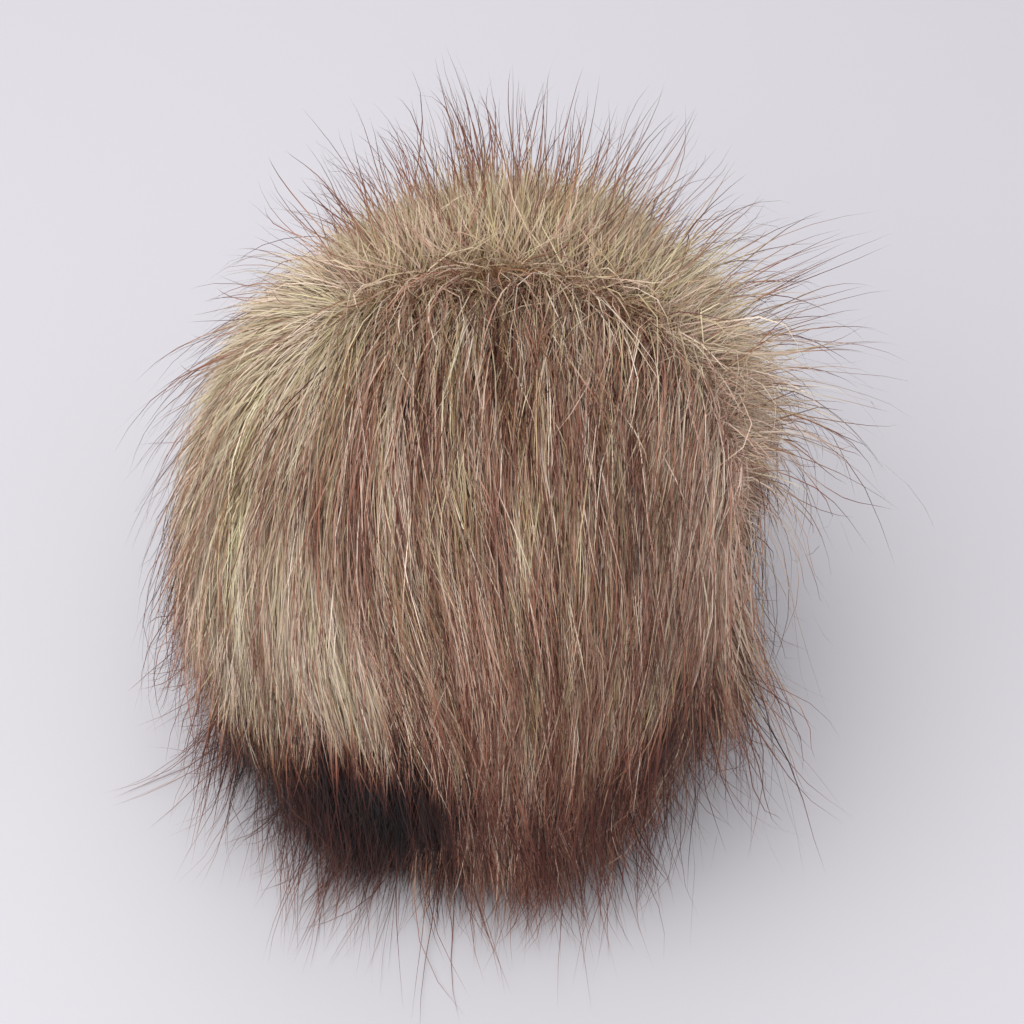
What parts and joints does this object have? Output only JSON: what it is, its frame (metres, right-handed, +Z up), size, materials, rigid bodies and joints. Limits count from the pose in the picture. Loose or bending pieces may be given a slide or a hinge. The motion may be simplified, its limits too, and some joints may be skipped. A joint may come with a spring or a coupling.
{
  "type": "faux fur pom pom",
  "caption": "Round long-pile faux fur pom pom in beige, brown and near-black, combed down from the crown, resting on a small flat spot.",
  "frame": {"origin": "centre of the small flat spot that the pom pom rests on", "axes": "+Z up through the ball, -Y towards the combed front, +X to the right as seen from the front"},
  "size_m": [0.1564, 0.1695, 0.1297],
  "materials": {
    "fur": "long silky acrylic pile, beige to brown with dark tips, near-black at the lower front"
  },
  "bodies": {
    "root": {"fur_ball": "fur"}
  },
  "joints": []
}
